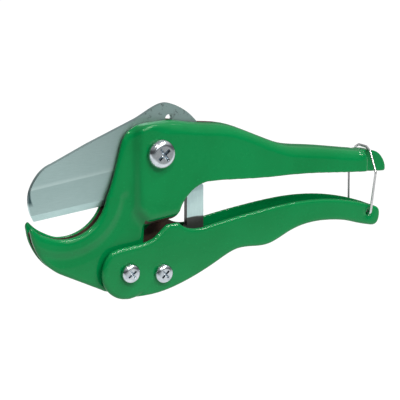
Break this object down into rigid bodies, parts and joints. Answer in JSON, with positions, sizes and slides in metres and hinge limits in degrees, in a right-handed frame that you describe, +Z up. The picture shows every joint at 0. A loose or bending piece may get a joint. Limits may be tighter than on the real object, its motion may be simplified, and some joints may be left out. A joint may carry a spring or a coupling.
{
  "type": "ratchet pipe cutter",
  "caption": "Hand-held ratchet cutter for plastic pipe: a wide flat blade closes into a slotted hook jaw between two pressed steel handles held shut by a wire latch.",
  "frame": {"origin": "Axis of the largest pipe the hook jaw holds, half way through the blade's thickness.", "axes": "X runs from the jaw to the handle ends, Y is the thickness of the tool with the screw heads on -Y, Z is up in the plane of the tool, from the hook to the blade."},
  "size_m": [0.2063, 0.0293, 0.0941],
  "materials": {
    "green_paint": "gloss",
    "blade_steel": "brushed",
    "pawl_steel": "brushed",
    "plain_steel": "satin",
    "zinc": "gloss",
    "spring_wire": "gloss"
  },
  "bodies": {
    "frame": {"frame": "green_paint", "blade_pivot_screw": "zinc", "blade_pivot_washer": "zinc", "blade_pivot_nut": "zinc", "blade_spacer_near": "plain_steel", "blade_spacer_far": "plain_steel", "handle_pivot_screw": "zinc", "handle_pivot_washer": "zinc", "handle_pivot_nut": "zinc", "handle_spacer_near": "plain_steel", "handle_spacer_far": "plain_steel", "jaw_spacer": "plain_steel", "return_spring": "spring_wire", "spring_pin": "plain_steel"},
    "blade": {"blade": "blade_steel"},
    "lower_handle": {"lower_handle": "green_paint", "pawl_screw": "zinc", "pawl_washer": "zinc", "pawl_nut": "zinc", "pawl_bush": "plain_steel", "pawl_spring": "spring_wire"},
    "pawl": {"pawl": "pawl_steel"},
    "wire_latch": {"wire_latch": "spring_wire"}
  },
  "joints": [
    {"name": "handle_pivot", "type": "hinge", "parent": "frame", "child": "lower_handle", "pos_m": [0.03, 0, -0.0412], "axis": [0, -1, 0], "range_deg": [-34, 0], "deforming": ["wire_latch", "pawl_spring"]},
    {"name": "blade_pivot", "type": "hinge", "parent": "frame", "child": "blade", "pos_m": [0.0475, 0, 0.016], "axis": [0, -1, 0], "range_deg": [-50, 17], "deforming": ["return_spring"]},
    {"name": "pawl_pivot", "type": "hinge", "parent": "lower_handle", "child": "pawl", "pos_m": [0.0482, 0, -0.0441], "axis": [0, -1, 0], "range_deg": [0, 28]},
    {"name": "latch_swing", "type": "hinge", "parent": "lower_handle", "child": "wire_latch", "pos_m": [0.174, 0, -0.0295], "axis": [0, -1, 0], "range_deg": [-150, 0]}
  ],
  "couplings": [
    {"joint": "pawl_pivot", "follows": "handle_pivot", "ratio": -0.8}
  ]
}
